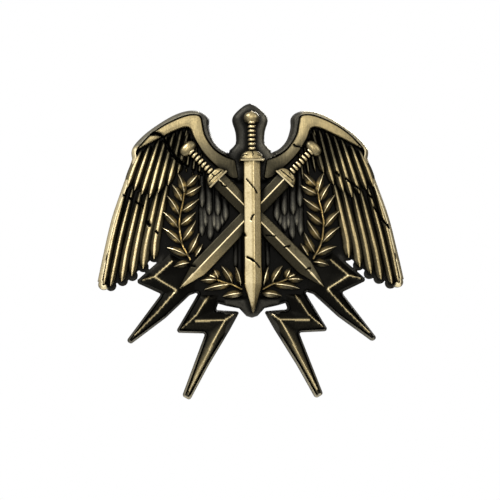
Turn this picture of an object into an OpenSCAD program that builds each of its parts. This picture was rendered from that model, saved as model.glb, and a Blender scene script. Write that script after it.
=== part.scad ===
// Cap badge: a spread pair of wings behind three swords, a laurel wreath and four lightning bolts.
// Every relief piece is a separate casting, pegged to one back plate. Two posts with sprung
// butterfly clutches hold the plate to the front of a cap.
// Frame: +X to the viewer's right, +Z up, and the front faces -Y. The back of the plate is
// y = 0, and the origin is on it, midway between the two posts.
// Left and right are the viewer's. Heights are measured forward from the back of the plate.

/* [Plate and relief heights] */
// Thickness of the back plate
plate_t = 1.2; // [1:0.1:1.4]
// Height of the raised lip round the plate
lip_h = 1.9; // [1.5:0.1:2]
// Width of the raised lip
lip_w = 0.5; // [0.3:0.05:0.55]
// Height of the tail feathers
tail_h = 1.7; // [1.5:0.1:1.8]
// Height of the breast feathers
breast_h = 2; // [1.8:0.1:2.2]
// Height of the ridge along each lightning bolt
bolt_h = 2.3; // [2:0.1:2.5]
// Height of the ridge along each wing feather
feather_h = 2.4; // [2.1:0.1:2.6]
// Height of the leading edge of each wing
arm_h = 2.8; // [2.6:0.1:3]
// Height of the ridge along each laurel leaf
leaf_h = 2.9; // [2.6:0.1:3.1]
// Height of the two crossed swords
crossed_h = 3.5; // [3.3:0.1:3.7]
// Height of the upright sword
upright_h = 4.6; // [4.4:0.1:4.9]

/* [Swords] */
// Width of a blade
blade_w = 3; // [2.6:0.1:3.2]
// Length of a blade below its guard
blade_len = 27.8; // [26:0.1:28.2]
// Length of the point at the end of a blade
point_len = 5; // [4:0.5:6]
// Width of the guard plate under the hilt
guard_w = 4.66; // [4:0.1:5]
// Width of the grip over its rings
grip_w = 1.5; // [1.3:0.1:1.7]
// Width of the pommel
pommel_w = 2.9; // [2.4:0.1:3.1]
// Height of the upright sword's guard above the posts
upright_z = 5.475; // [5.2:0.1:5.8]
// Distance of a crossed sword's guard from the middle
crossed_x = 6.07; // [5.9:0.05:6.2]
// Height of a crossed sword's guard above the posts
crossed_z = 1.8; // [1.6:0.1:2]
// Lean of a crossed sword from upright
crossed_lean = 44.2; // [43:0.1:45.5]

/* [Posts and clutches] */
// Distance between the two posts
post_spacing = 26; // [25:0.5:27]
// Diameter of a post
post_d = 1.2; // [1.1:0.05:1.3]
// Length of a post behind the plate
post_len = 9.5; // [9:0.1:10.5]
// Gap for the cap's cloth between the plate and a clutch
cloth_gap = 2.4; // [2.2:0.1:2.8]
// Diameter of a clutch's base disc
clutch_d = 11.5; // [10.5:0.1:11.9]
// Diameter of a clutch's cover
cover_d = 6.6; // [6.2:0.1:7]
// Diameter of a locating peg
peg_d = 0.9; // [0.7:0.1:1]

/* [Hidden] */
$fn = 48;
left = -1;
right = 1;
fit_gap = 0.04;
far = 60;

// Wing: outline of the plate behind the right wing, from the notch beside the hilt
wing_shoulder = [
  [3.9, 6.85], [5.4, 7.6], [6.8, 9.25], [7.5, 11.5], [7.6, 13.3], [8.9, 14.35],
  [11.3, 14.6], [14.35, 13.6], [18.3, 11.1], [20.8, 8.85], [21.8, 7.2], [21.7, 5.7]
];
wing_outer_edge = [[21.7, 5.7], [23.4, 0.9], [25.5, -5.25], [27.1, -12], [28.1, -16.65]];
wing_inside = [[16.8, -12.6], [14, -14.5], [0, -15], [0, 6.85]];
wing_tip_r = 1;
notch_r = 0.15;
arm_top_edge = [
  [21, 7.4], [18.6, 10], [15.5, 12.2], [11.6, 13.9], [9.2, 13.85], [8.7, 12.15],
  [8.25, 9.9], [6.75, 7.6], [4.8, 6.2], [2.8, 5.5]
];
arm_lower_edge = [
  [2.2, 2], [3.7, 2], [6.3, 4.1], [8.5, 6.3], [10.3, 9.1], [11.15, 11.1], [12.6, 11.2],
  [16, 9.7], [19.4, 7.9]
];
arm_bevel = 0.3;

// Each feather: the points that its ridge runs through, from root to tip
primaries = [
  [[22.8, -0.2], [24.95, -7.25], [26, -12], [27, -17.2]],
  [[21.7, -1.1], [23.5, -7], [24.6, -11.9], [25.7, -17.4]],
  [[20.4, -1.4], [22.3, -9], [23, -12.1], [23.6, -16.5]],
  [[19.1, -1.8], [20.7, -8.8], [21.4, -12.5], [21.8, -15.6]],
  [[17.2, -1.1], [19, -8.8], [19.5, -11.4], [19.8, -14]],
  [[15.6, -0.3], [17.4, -8.3], [17.7, -10.4], [17.8, -12.2]]
];
secondaries = [
  [[20.1, 6.8], [21.5, 3.7], [22.6, 0.4]],
  [[18.6, 7.8], [19.85, 4.3], [21.3, -0.1]],
  [[16.9, 8.8], [18.3, 4.5], [20, -0.9]],
  [[15.5, 9.4], [17, 4.4], [18.6, -1.5]],
  [[14.2, 9.9], [15.6, 4.6], [17, -0.6]],
  [[12.8, 10.6], [14, 5.3], [15.2, 0.8]],
  [[11.6, 9.6], [12.4, 6.4], [13.2, 3.4]]
];
// Breast feathers: the tip of each, and its length upward
breast = [
  [[9, -3.4], 7.5], [[7.6, -4.9], 8], [[6, -5.1], 6.4], [[4.5, -6.1], 5],
  [[8.8, -9.4], 5.4], [[7.4, -9.9], 4.6], [[5.9, -8.7], 3.2]
];
tail = [[-2.9, -14.5], [-2.1, -16.2], [2.1, -16.2], [2.9, -14.5]];

// Laurel: the stem, then each leaf's base and tip
branch_stem = [[12.2, -0.7], [12.5, -2.3], [13, -4.6], [13.2, -6.6], [12.7, -10], [11.2, -12.9]];
branch_leaves = [
  [[12.2, -1.2], [13.4, 2.9]], [[12.4, 0.1], [9.55, 3]], [[12.6, -2.4], [14.5, 0.9]],
  [[12.2, -1.05], [9.1, 0.7]], [[13.2, -4.7], [15.4, -1.15]], [[13, -4.1], [9.6, -1.75]],
  [[13.3, -7.2], [16.3, -4]], [[13.2, -6.6], [10.2, -4.15]], [[12.8, -10], [16.2, -7]],
  [[12.8, -9.5], [10.2, -5.7]], [[11.7, -12.2], [15.5, -10.6]], [[11.6, -11.8], [9.7, -8.05]],
  [[10.6, -12.3], [9.1, -10]], [[11.2, -12.8], [14.2, -14.1]]
];
sprig_stem = [[1.9, -18.3], [3.6, -17.45], [4.9, -17.1], [6.4, -16.5]];
sprig_leaves = [
  [[2.2, -17.9], [3, -14.25]], [[3.6, -17.2], [5.65, -14]], [[6.2, -16.4], [7.15, -14.5]],
  [[6.2, -16.5], [8.2, -15.6]], [[6.2, -16.6], [9.4, -16.65]], [[3.7, -17.4], [8.7, -18.3]],
  [[2.1, -18.6], [5.4, -19.6]]
];
leaf_w = 1.5;

// Bolts: corners of each outline as [x, z, corner radius], and the ridge inside it
outer_bolt_corners = [
  [15, -11, 0.3], [17.2, -13.2, 2], [21.3, -16.8, 0.5], [16.6, -19, 0.3], [23, -27.5, 0.5],
  [22.1, -28.05, 0.5], [15.8, -23.4, 3], [11.4, -19.3, 0.6], [10, -18.8, 0.3], [10, -14, 0.3]
];
outer_bolt_ridge = [[14.5, -13.1], [17.75, -15.9], [13.8, -18.4], [17.3, -22.3], [21.9, -26.8]];
inner_bolt_corners = [
  [9.75, -18.8, 0.3], [14.1, -26.1, 0.5], [8.6, -26.3, 0.3], [12.9, -37.6, 0.5],
  [11.5, -38.4, 0.5], [8.1, -32.2, 3], [4.1, -25.7, 3], [2.2, -22.3, 0.35], [6.6, -22, 0.3],
  [5.5, -18.8, 0.3]
];
inner_bolt_ridge = [
  [7.9, -19.6], [10.3, -23], [12.6, -25.2], [5, -24], [7.2, -27.8], [10.6, -34.3], [11.7, -36.6]
];
bolt_slab_h = 1.55;

// Plate behind the hilt of the upright sword, and behind the sprigs and the sword's point
hilt_plate = [
  [0, 16], [1.2, 15.5], [2.8, 14.05], [3.3, 12.8], [2.7, 10.7], [2.7, 8.5], [3.9, 6.85], [0, 6]
];
sprig_plate = [
  [0, -14], [10, -14], [10.2, -18.9], [6.4, -20.8], [4.7, -21.3], [2.3, -21.8], [1, -23.2],
  [0, -23.5]
];

// Sword, as sizes and as distances above the guard plate
blade_flat = 0.6;
blade_edge_part = 0.75;
guard_t = 0.4;
dome_w = 4.2;
dome_top_w = 1.6;
dome_h = 1.6;
grip_len = 6;
ring_count = 6;
ring_start = 1.05;
ring_step = 0.78;
ring_t = 0.4;
pommel_z = 7.8;
pommel_t = 1.8;
finial_z = 8.6;
finial_r = 0.45;

// Posts: a collar let into the plate, a groove near the end, and a point
post_r = post_d / 2;
collar_r = 1.6;
collar_t = 0.5;
post_stub = 1;
groove_y = cloth_gap + 4.9;
groove_w = 0.6;
groove_depth = 0.18;
post_point = 0.5;

// Locating pegs: [x, z] on the right, matched on the left, and those on the middle line
peg_r = peg_d / 2;
peg_grip = 0.55;
branch_peg = [13.1, -5.8];
sprig_peg = [4.3, -17.3];
side_pegs = [
  [16.2, 10.9], [9.7, 10.8], [24.95, -7.25], [19, -8.8], [18.3, 4.5], branch_peg,
  sprig_peg, [17.3, -22.3], [7.9, -28.9], [8.72, 4.53], [6.06, -8.8]
];
middle_pegs = [[0, 9.5], [0, -13]];

// Clutch, as distances behind the plate
clutch_r = clutch_d / 2;
cover_r = cover_d / 2;
disc_t = 0.45;
rim_r = 0.3;
sheet_t = 0.3;
boss_r = 1.3;
boss_h = 0.5;
bore_gap = 0.06;
cover_h = 2.9;
wing_w = 3.2;
wing_reach = 4.25;
wing_tail = 1.9;
wing_travel = 0.6;
wing_gap = 0.15;
disc_y = cloth_gap;
cover_y = disc_y + disc_t;
lower_wing_y = cover_y + boss_h + 0.15;
upper_wing_y = lower_wing_y + sheet_t + 0.2;
ear_rise = 3;
ear_lean = 1.3;

function unit(v) = v / norm(v);

function spline_point(a, b, c, d, t) =
  0.5 * (2 * b + (c - a) * t + (2 * a - 5 * b + 4 * c - d) * t * t
         + (3 * b - a - 3 * c + d) * t * t * t);

// A smooth line through the points, with the given number of steps from each to the next
function curve(points, steps = 4) =
  let (last = len(points) - 1)
  [
    for (i = [0 : last - 1], s = [0 : steps - 1])
      spline_point(points[max(i - 1, 0)], points[i], points[i + 1],
                   points[min(i + 2, last)], s / steps),
    points[last]
  ];

// The arc that rounds corner b between a and c
function corner_arc(a, b, c, r, steps = 5) =
  let (u = unit(a - b), v = unit(c - b), half = acos(u * v) / 2)
  let (centre = b + unit(u + v) * r / sin(half))
  let (from = b + u * r / tan(half) - centre, to = b + v * r / tan(half) - centre)
  [for (s = [0 : steps]) centre + r * unit(from * (steps - s) + to * s)];

function rounded(corners) =
  let (n = len(corners))
  let (flat = [for (c = corners) [c[0], c[1]]])
  [
    for (i = [0 : n - 1])
      each corner_arc(flat[(i + n - 1) % n], flat[i], flat[(i + 1) % n], corners[i][2])
  ];

// Puts a flat shape drawn as [x, z] between two heights in front of the back of the plate
module raise(low, high) {
  rotate([90, 0, 0])
    translate([0, 0, low])
      linear_extrude(high - low)
        children();
}

module on_side(side) {
  mirror([side == left ? 1 : 0, 0, 0])
    children();
}

// The five corners of a ridged bar where its ridge passes point i
function bar_section(points, widths, low, high, i) =
  let (last = len(points) - 1)
  let (along = unit(points[min(i + 1, last)] - points[max(i - 1, 0)]))
  let (side = [-along[1], along[0]] * widths[i] / 2)
  let (p = points[i], l = p + side, r = p - side, edge = low + (high - low) * 0.3)
  [
    [l[0], -low, l[1]], [r[0], -low, r[1]], [l[0], -edge, l[1]], [r[0], -edge, r[1]],
    [p[0], -high, p[1]]
  ];

// A bar with a ridge along its top: feathers, leaves and bolts are all made of it
module ridged_bar(points, widths, low, high) {
  for (i = [0 : len(points) - 2])
    hull()
      polyhedron(
        points = concat(bar_section(points, widths, low, high, i),
                        bar_section(points, widths, low, high, i + 1)),
        faces = [[0, 1, 4, 3, 2], [5, 6, 9, 8, 7]]
      );
}

module ridged_bar_shadow(points, widths) {
  for (i = [0 : len(points) - 2])
    hull() {
      translate(points[i])
        circle(d = widths[i], $fn = 16);
      translate(points[i + 1])
        circle(d = widths[i + 1], $fn = 16);
    }
}

module leaf(base, tip) {
  points = [base, base + (tip - base) * 0.5, tip];
  widths = [0.5, leaf_w, 0.3];
  hull()
    polyhedron(
      points = [for (i = [0 : 2]) each bar_section(points, widths, plate_t, leaf_h, i)],
      faces = [[0, 1, 4, 3, 2], [5, 6, 9, 8, 7], [10, 11, 14, 13, 12]]
    );
}

module leaf_shadow(base, tip) {
  ridged_bar_shadow([base, base + (tip - base) * 0.4, base + (tip - base) * 0.7, tip],
                    [0.4, leaf_w, leaf_w, 0.3]);
}

module peg(high) {
  rotate([90, 0, 0])
    cylinder(r = peg_r, h = high);
}

// Room for the pegs in a relief piece
module peg_holes() {
  for (side = [left, right], at = side_pegs)
    translate([side * at[0], 0, at[1]])
      rotate([90, 0, 0])
        cylinder(r = peg_r + fit_gap, h = plate_t + peg_grip + fit_gap);
  for (at = middle_pegs)
    translate([at[0], 0, at[1]])
      rotate([90, 0, 0])
        cylinder(r = peg_r + fit_gap, h = plate_t + peg_grip + fit_gap);
}

// A round foot for a peg under a stem
module peg_boss(at) {
  translate([at[0], 0, at[1]])
    rotate([90, 0, 0])
      translate([0, 0, plate_t])
        cylinder(r = 2 * peg_r, h = peg_grip + 0.4);
}

// Swords, drawn upright with the guard plate at the origin
module blade_outline() {
  polygon([
    [-blade_w / 2, 0], [blade_w / 2, 0], [blade_w / 2, point_len - blade_len],
    [0, -blade_len], [-blade_w / 2, point_len - blade_len]
  ]);
}

module dome_outline() {
  polygon([
    [-dome_w / 2, 0], [dome_w / 2, 0], [dome_w / 2, dome_h * 0.55], [dome_top_w / 2, dome_h],
    [-dome_top_w / 2, dome_h], [-dome_w / 2, dome_h * 0.55]
  ]);
}

module sword_shadow() {
  blade_outline();
  square([guard_w, guard_t], center = true);
  dome_outline();
  translate([-grip_w / 2, dome_h - 0.1])
    square([grip_w, grip_len]);
  translate([0, pommel_z])
    square([pommel_w - 0.6, pommel_t], center = true);
  translate([0, pommel_z])
    square([pommel_w, pommel_t * 0.6], center = true);
  translate([0, finial_z])
    circle(r = finial_r + 0.05);
}

// A bar whose ridge is flat on top, between two distances from the guard
module blade_bar(from, to, edge_h, ridge_h) {
  hull() {
    translate([-blade_w / 2, from, 0])
      cube([blade_w, to - from, edge_h]);
    translate([-blade_flat / 2, from, 0])
      cube([blade_flat, to - from, ridge_h]);
  }
}

module sword(high) {
  body_h = high - plate_t;
  edge_h = body_h * blade_edge_part;
  ridge_h = body_h - 0.2;
  grip_z = dome_h - 0.1;
  rotate([90, 0, 0])
    translate([0, 0, plate_t]) {
      blade_bar(point_len - blade_len, 0, edge_h, ridge_h);
      hull() {
        blade_bar(point_len - blade_len - 0.01, point_len - blade_len, edge_h, ridge_h);
        translate([-0.05, -blade_len, 0])
          cube([0.1, 0.1, edge_h * 0.8]);
      }
      translate([-guard_w / 2, -guard_t / 2, 0])
        cube([guard_w, guard_t, body_h]);
      hull() {
        translate([-dome_w / 2, 0, 0])
          cube([dome_w, dome_h * 0.55, body_h - 0.6]);
        translate([-dome_top_w / 2, 0, 0])
          cube([dome_top_w, dome_h, body_h - 0.1]);
      }
      translate([-grip_w * 0.4, grip_z, 0])
        cube([grip_w * 0.8, grip_len, body_h - grip_w / 2]);
      translate([0, grip_z, body_h - grip_w / 2])
        rotate([-90, 0, 0]) {
          cylinder(r = grip_w * 0.42, h = grip_len);
          for (ring = [0 : ring_count - 1])
            translate([0, 0, ring_start + ring * ring_step])
              cylinder(d = grip_w, h = ring_t);
        }
      translate([0, pommel_z, (body_h - 0.3) / 2])
        cube([pommel_w - 0.6, pommel_t, body_h - 0.3], center = true);
      translate([0, pommel_z, (body_h - 0.6) / 2])
        cube([pommel_w, pommel_t * 0.6, body_h - 0.6], center = true);
      translate([0, finial_z, 0])
        cylinder(r = finial_r, h = body_h - 0.5);
    }
}

module place_crossed(side) {
  translate([side * crossed_x, 0, crossed_z])
    rotate([0, side * crossed_lean, 0])
      children();
}

module crossed_shadow(grow = 0) {
  for (side = [left, right])
    translate([side * crossed_x, crossed_z])
      rotate(-side * crossed_lean)
        offset(delta = grow)
          sword_shadow();
}

module upright_shadow(grow = 0) {
  translate([0, upright_z])
    offset(delta = grow)
      sword_shadow();
}

module laurel_shadow(grow = 0) {
  for (side = [left, right])
    mirror([side == left ? 1 : 0, 0])
      offset(delta = grow) {
        for (at = [branch_peg, sprig_peg])
          translate(at)
            circle(r = 2 * peg_r);
        ridged_bar_shadow(branch_stem, [for (p = branch_stem) 0.7]);
        for (l = branch_leaves)
          leaf_shadow(l[0], l[1]);
        ridged_bar_shadow(sprig_stem, [for (p = sprig_stem) 0.7]);
        for (l = sprig_leaves)
          leaf_shadow(l[0], l[1]);
      }
}

// Room for everything that stands on top of the feathers and the bolts
module room_for_upper_pieces() {
  raise(0, far) {
    crossed_shadow(fit_gap);
    upright_shadow(fit_gap);
    laurel_shadow(fit_gap);
  }
}

module arm_outline() {
  polygon(concat(curve(arm_top_edge), curve(arm_lower_edge)));
}

module half_plate() {
  polygon(concat(curve(wing_shoulder), curve(wing_outer_edge),
                 [for (f = primaries) f[3]], wing_inside));
  for (f = primaries)
    translate(f[3])
      circle(r = wing_tip_r);
  polygon(curve(hilt_plate, 3));
  polygon(sprig_plate);
  polygon(rounded(outer_bolt_corners));
  polygon(rounded(inner_bolt_corners));
}

module plate_outline() {
  offset(r = -notch_r)
    offset(r = notch_r) {
      half_plate();
      mirror([1, 0])
        half_plate();
    }
}

module lip(clearance = 0) {
  difference() {
    offset(delta = clearance)
      plate_outline();
    offset(delta = -lip_w - clearance)
      plate_outline();
  }
}

// Where the lip stands, with clearance, for pieces that reach the edge of the plate
module on_the_lip() {
  raise(0, far)
    lip(fit_gap);
}

module back_plate() {
  color("darkolivegreen")
    difference() {
      union() {
        raise(0, plate_t)
          plate_outline();
        raise(plate_t, lip_h)
          lip();
      }
      for (side = [left, right])
        translate([side * post_spacing / 2, -collar_t, 0])
          rotate([-90, 0, 0])
            cylinder(r = collar_r, h = 1);
      for (side = [left, right])
        translate([side * post_spacing / 2, 0, 0])
          rotate([90, 0, 0])
            cylinder(r = post_r, h = post_stub);
      for (side = [left, right], at = side_pegs)
        translate([side * at[0], 1, at[1]])
          rotate([90, 0, 0])
            cylinder(r = peg_r, h = 4);
      for (at = middle_pegs)
        translate([at[0], 1, at[1]])
          rotate([90, 0, 0])
            cylinder(r = peg_r, h = 4);
    }
}

module post(side) {
  color("gold")
    translate([side * post_spacing / 2, 0, 0])
      rotate([-90, 0, 0])
        rotate_extrude()
          polygon([
            [0, -post_stub], [post_r, -post_stub], [post_r, -collar_t], [collar_r, -collar_t],
            [collar_r, 0], [post_r, 0], [post_r, groove_y], [post_r - groove_depth, groove_y],
            [post_r - groove_depth, groove_y + groove_w], [post_r, groove_y + groove_w],
            [post_r, post_len - post_point], [0.1, post_len], [0, post_len]
          ]);
}

module locating_pegs() {
  color("gold") {
    for (side = [left, right], at = side_pegs)
      translate([side * at[0], 0, at[1]])
        peg(plate_t + peg_grip);
    for (at = middle_pegs)
      translate([at[0], 0, at[1]])
        peg(plate_t + peg_grip);
  }
}

module wing_arm(side) {
  color("burlywood")
    on_side(side)
      difference() {
        union() {
          raise(plate_t, arm_h - arm_bevel)
            arm_outline();
          raise(plate_t, arm_h)
            offset(delta = -arm_bevel)
              arm_outline();
        }
        on_the_lip();
        room_for_upper_pieces();
        peg_holes();
      }
}

module primary_feathers(side) {
  color("tan")
    on_side(side)
      difference() {
        for (f = primaries)
          ridged_bar(curve(f, 3), [0.6, 0.9, 1.2, 1.4, 1.6, 1.7, 1.7, 1.6, 1.2, 0.5],
                     plate_t, feather_h);
        for (f = secondaries)
          raise(0, far)
            ridged_bar_shadow(f, [1.7, 1.7, 0.8]);
        on_the_lip();
        room_for_upper_pieces();
        peg_holes();
      }
}

module secondary_feathers(side) {
  color("wheat")
    on_side(side)
      difference() {
        for (f = secondaries)
          ridged_bar(f, [1.4, 1.6, 0.6], plate_t, feather_h);
        on_the_lip();
        raise(0, far)
          offset(delta = fit_gap)
            arm_outline();
        room_for_upper_pieces();
        peg_holes();
      }
}

module breast_feathers(side) {
  color("gray")
    on_side(side)
      difference() {
        for (f = breast)
          ridged_bar([f[0] + [0, f[1]], f[0] + [0, 0.8], f[0]], [1.2, 1.2, 0.5],
                     plate_t, breast_h);
        raise(0, far)
          offset(delta = fit_gap)
            arm_outline();
        room_for_upper_pieces();
        peg_holes();
      }
}

module tail_feathers() {
  color("dimgray")
    difference() {
      for (tip = tail)
        ridged_bar([tip + [0, 8], tip + [0, 1], tip], [1, 1, 0.4], plate_t, tail_h);
      room_for_upper_pieces();
      peg_holes();
    }
}

module bolt(side, corners, ridge, widths) {
  color("olive")
    on_side(side)
      difference() {
        union() {
          raise(plate_t, bolt_slab_h)
            offset(delta = -lip_w - fit_gap)
              polygon([for (c = corners) [c[0], c[1]]]);
          ridged_bar(ridge, widths, plate_t, bolt_h);
        }
        on_the_lip();
        for (f = primaries)
          raise(0, far)
            ridged_bar_shadow(f, [1.8, 1.8, 1.8, 1.6]);
        room_for_upper_pieces();
        peg_holes();
      }
}

module outer_bolt(side) {
  bolt(side, outer_bolt_corners, outer_bolt_ridge, [1.4, 2, 2.2, 2.6, 0.8]);
}

module inner_bolt(side) {
  bolt(side, inner_bolt_corners, inner_bolt_ridge, [1.4, 2.4, 1, 1.4, 2.2, 1.8, 0.6]);
}

module laurel_branch(side) {
  color("goldenrod")
    on_side(side)
      difference() {
        union() {
          ridged_bar(branch_stem, [for (p = branch_stem) 0.6], plate_t, leaf_h - 0.3);
          for (l = branch_leaves)
            leaf(l[0], l[1]);
          peg_boss(branch_peg);
        }
        peg_holes();
      }
}

module lower_sprig(side) {
  color("goldenrod")
    on_side(side)
      difference() {
        union() {
          ridged_bar(sprig_stem, [for (p = sprig_stem) 0.6], plate_t, leaf_h - 0.3);
          for (l = sprig_leaves)
            leaf(l[0], l[1]);
          peg_boss(sprig_peg);
        }
        peg_holes();
      }
}

// The two crossed swords are halved into each other where they meet, the left one in front
module crossed_sword(side) {
  half_h = (plate_t + crossed_h) / 2;
  color("khaki")
    difference() {
      place_crossed(side)
        sword(crossed_h);
      raise(side == left ? 0 : half_h, side == left ? half_h + fit_gap : far)
        translate([-side * crossed_x, crossed_z])
          rotate(side * crossed_lean)
            offset(delta = fit_gap)
              sword_shadow();
      peg_holes();
    }
}

// The upright sword bridges the two crossed ones
module upright_sword() {
  color("khaki")
    difference() {
      translate([0, 0, upright_z])
        sword(upright_h);
      raise(0, crossed_h + fit_gap)
        crossed_shadow(fit_gap);
      peg_holes();
    }
}

module at_post(side) {
  translate([side * post_spacing / 2, 0, 0])
    children();
}

module clutch_base(side) {
  color("gold")
    at_post(side)
      rotate([-90, 0, 0])
        rotate_extrude()
          difference() {
            union() {
              translate([0, disc_y])
                square([clutch_r - rim_r, disc_t]);
              translate([0, disc_y])
                square([boss_r, disc_t + boss_h]);
              translate([clutch_r - rim_r, disc_y + rim_r])
                circle(r = rim_r);
            }
            translate([-1, 0])
              square([1 + post_r + bore_gap, far]);
          }
}

module clutch_cover(side) {
  window_h = upper_wing_y + sheet_t + wing_gap - cover_y;
  top_y = cover_y + cover_h;
  hole_r = post_r + 0.3;
  color("gold")
    at_post(side)
      difference() {
        rotate([-90, 0, 0])
          rotate_extrude()
            polygon([
              [cover_r - sheet_t, cover_y], [cover_r, cover_y], [cover_r, top_y - 0.4],
              [cover_r - 0.4, top_y], [hole_r, top_y], [hole_r, top_y - sheet_t],
              [cover_r - 0.5, top_y - sheet_t], [cover_r - sheet_t, top_y - 0.6]
            ]);
        translate([-wing_w / 2 - wing_gap, cover_y - 1, -far / 2])
          cube([wing_w + 2 * wing_gap, window_h + 1, far]);
      }
}

// The ear's section at a distance up it, from 0 at the sheet to 1 at its end
module ear_bar(sheet_y, up_ear, width) {
  translate([0, sheet_y + sheet_t / 2 + ear_rise * up_ear, wing_reach + ear_lean * up_ear])
    cube([width, sheet_t, sheet_t], center = true);
}

// A wing is a sheet with a slot that the post passes through and an ear to squeeze.
// The slot's far end grips the post, and squeezing the ear inwards lets it go.
module clutch_wing(side, up, sheet_y) {
  slot_r = post_r + bore_gap;
  slot_len = wing_travel + 0.2;
  color("gold")
    at_post(side)
      mirror([0, 0, up ? 0 : 1])
        difference() {
          union() {
            translate([-wing_w / 2, sheet_y, -wing_tail])
              cube([wing_w, sheet_t, wing_tail + wing_reach]);
            hull() {
              ear_bar(sheet_y, 0, wing_w);
              ear_bar(sheet_y, 0.7, wing_w + 0.8);
            }
            hull() {
              ear_bar(sheet_y, 0.7, wing_w + 0.8);
              ear_bar(sheet_y, 1, wing_w - 1);
            }
          }
          for (z = [0, slot_len])
            translate([0, sheet_y - 1, z])
              rotate([-90, 0, 0])
                cylinder(r = slot_r, h = 3);
          translate([-slot_r, sheet_y - 1, 0])
            cube([2 * slot_r, 3, slot_len]);
        }
}

back_plate();
post(left);  // left_post
post(right);  // right_post
locating_pegs();
wing_arm(left);  // left_wing_arm
wing_arm(right);  // right_wing_arm
primary_feathers(left);  // left_primary_feathers
primary_feathers(right);  // right_primary_feathers
secondary_feathers(left);  // left_secondary_feathers
secondary_feathers(right);  // right_secondary_feathers
breast_feathers(left);  // left_breast_feathers
breast_feathers(right);  // right_breast_feathers
tail_feathers();
outer_bolt(left);  // left_outer_bolt
outer_bolt(right);  // right_outer_bolt
inner_bolt(left);  // left_inner_bolt
inner_bolt(right);  // right_inner_bolt
laurel_branch(left);  // left_laurel_branch
laurel_branch(right);  // right_laurel_branch
lower_sprig(left);  // left_lower_sprig
lower_sprig(right);  // right_lower_sprig
crossed_sword(left);  // left_crossed_sword
crossed_sword(right);  // right_crossed_sword
upright_sword();
clutch_base(left);  // left_clutch_base
clutch_base(right);  // right_clutch_base
clutch_cover(left);  // left_clutch_cover
clutch_cover(right);  // right_clutch_cover
clutch_wing(left, true, upper_wing_y);  // left_clutch_upper_wing
clutch_wing(right, true, upper_wing_y);  // right_clutch_upper_wing
clutch_wing(left, false, lower_wing_y);  // left_clutch_lower_wing
clutch_wing(right, false, lower_wing_y);  // right_clutch_lower_wing
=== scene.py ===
import math

import bmesh
import bpy
import numpy as np
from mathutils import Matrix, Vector
from mathutils.kdtree import KDTree
from mathutils.geometry import delaunay_2d_cdt


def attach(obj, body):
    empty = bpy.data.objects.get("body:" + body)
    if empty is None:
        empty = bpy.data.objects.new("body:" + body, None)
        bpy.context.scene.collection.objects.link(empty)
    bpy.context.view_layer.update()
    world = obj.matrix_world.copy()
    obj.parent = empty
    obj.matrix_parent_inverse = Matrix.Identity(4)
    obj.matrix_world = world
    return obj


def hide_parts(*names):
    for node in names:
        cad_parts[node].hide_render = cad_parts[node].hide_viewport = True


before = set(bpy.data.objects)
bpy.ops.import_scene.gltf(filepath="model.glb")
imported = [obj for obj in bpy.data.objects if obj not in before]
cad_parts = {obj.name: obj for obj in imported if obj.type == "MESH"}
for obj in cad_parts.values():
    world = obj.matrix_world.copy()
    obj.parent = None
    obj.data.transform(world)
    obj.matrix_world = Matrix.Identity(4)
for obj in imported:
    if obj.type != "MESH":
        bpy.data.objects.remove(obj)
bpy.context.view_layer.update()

# Lengths are in millimetres up to the moment a mesh is made. A flat point is [x, z], and a
# height is the distance forward of the plate's back, so y = -height.
MM = 0.001
SUNK = 1.0          # relief pieces reach this far down, a little into the plate
GROUND = 1.2        # height of the plate's front between the relief pieces
FEATHER_H = 2.4
ARM_H = 2.75
LEAF_H = 2.9
CROSSED_H = 3.5
UPRIGHT_H = 4.6
BOLT_H = 2.25
POST_X = 13.0
UNDERSIDE_RUB = 0.35    # rub_and_light of the plate's back and of the relief pieces' undersides
SIDES = (("left", True), ("right", False))     # each side's name, and whether it is mirrored


# ---------------------------------------------------------------- flat lines
def spline(points, step):
    """A smooth line through the points, with a point about every step."""
    p = [np.array(q, float) for q in points]
    last = len(p) - 1
    line = []
    for i in range(last):
        a, b, c, d = p[max(i - 1, 0)], p[i], p[i + 1], p[min(i + 2, last)]
        count = max(1, round(float(np.linalg.norm(c - b)) / step))
        for t in np.arange(count) / count:
            line.append(
                0.5 * (2 * b + (c - a) * t + (2 * a - 5 * b + 4 * c - d) * t ** 2
                       + (3 * b - a - 3 * c + d) * t ** 3)
            )
    line.append(p[last])
    return np.array(line)


def straight(points, step):
    """The same line, with a point at least every step."""
    p = np.asarray(points, float)
    line = []
    for a, b in zip(p[:-1], p[1:]):
        count = max(1, math.ceil(float(np.linalg.norm(b - a)) / step))
        line.extend(a + (b - a) * k / count for k in range(count))
    line.append(p[-1])
    return np.array(line)


def bent(a, b, bow, count):
    """A line from a to b that bows to one side by a part of its length."""
    a, b = np.array(a, float), np.array(b, float)
    t = np.linspace(0, 1, count)[:, None]
    side = np.array([-(b - a)[1], (b - a)[0]])
    return a + (b - a) * t + side * bow * 4 * t * (1 - t)


def closed(loop):
    """The loop with its first point again at its end."""
    return np.vstack([loop, loop[:1]])


def fractions(line):
    """How far along the line each of its points is, from 0 to 1."""
    steps = np.linalg.norm(np.diff(line, axis=0), axis=1)
    run = np.concatenate([[0], np.cumsum(steps)])
    return run / run[-1]


def distance(p, lines):
    """How far each point is from the nearest of the lines."""
    dense = np.vstack([straight(line, 0.04) for line in lines])
    tree = KDTree(len(dense))
    for i, (x, z) in enumerate(dense.tolist()):
        tree.insert((x, z, 0), i)
    tree.balance()
    return np.array([tree.find((x, z, 0))[2] for x, z in p.tolist()])


def inside(p, loops):
    """Whether each point is inside the loops, with holes left out."""
    result = np.zeros(len(p), bool)
    for loop in loops:
        for a, b in zip(loop, np.roll(loop, -1, 0)):
            if a[1] == b[1]:
                continue
            crosses = (a[1] > p[:, 1]) != (b[1] > p[:, 1])
            x = a[0] + (p[:, 1] - a[1]) * (b[0] - a[0]) / (b[1] - a[1])
            result ^= crosses & (p[:, 0] < x)
    return result


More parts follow.
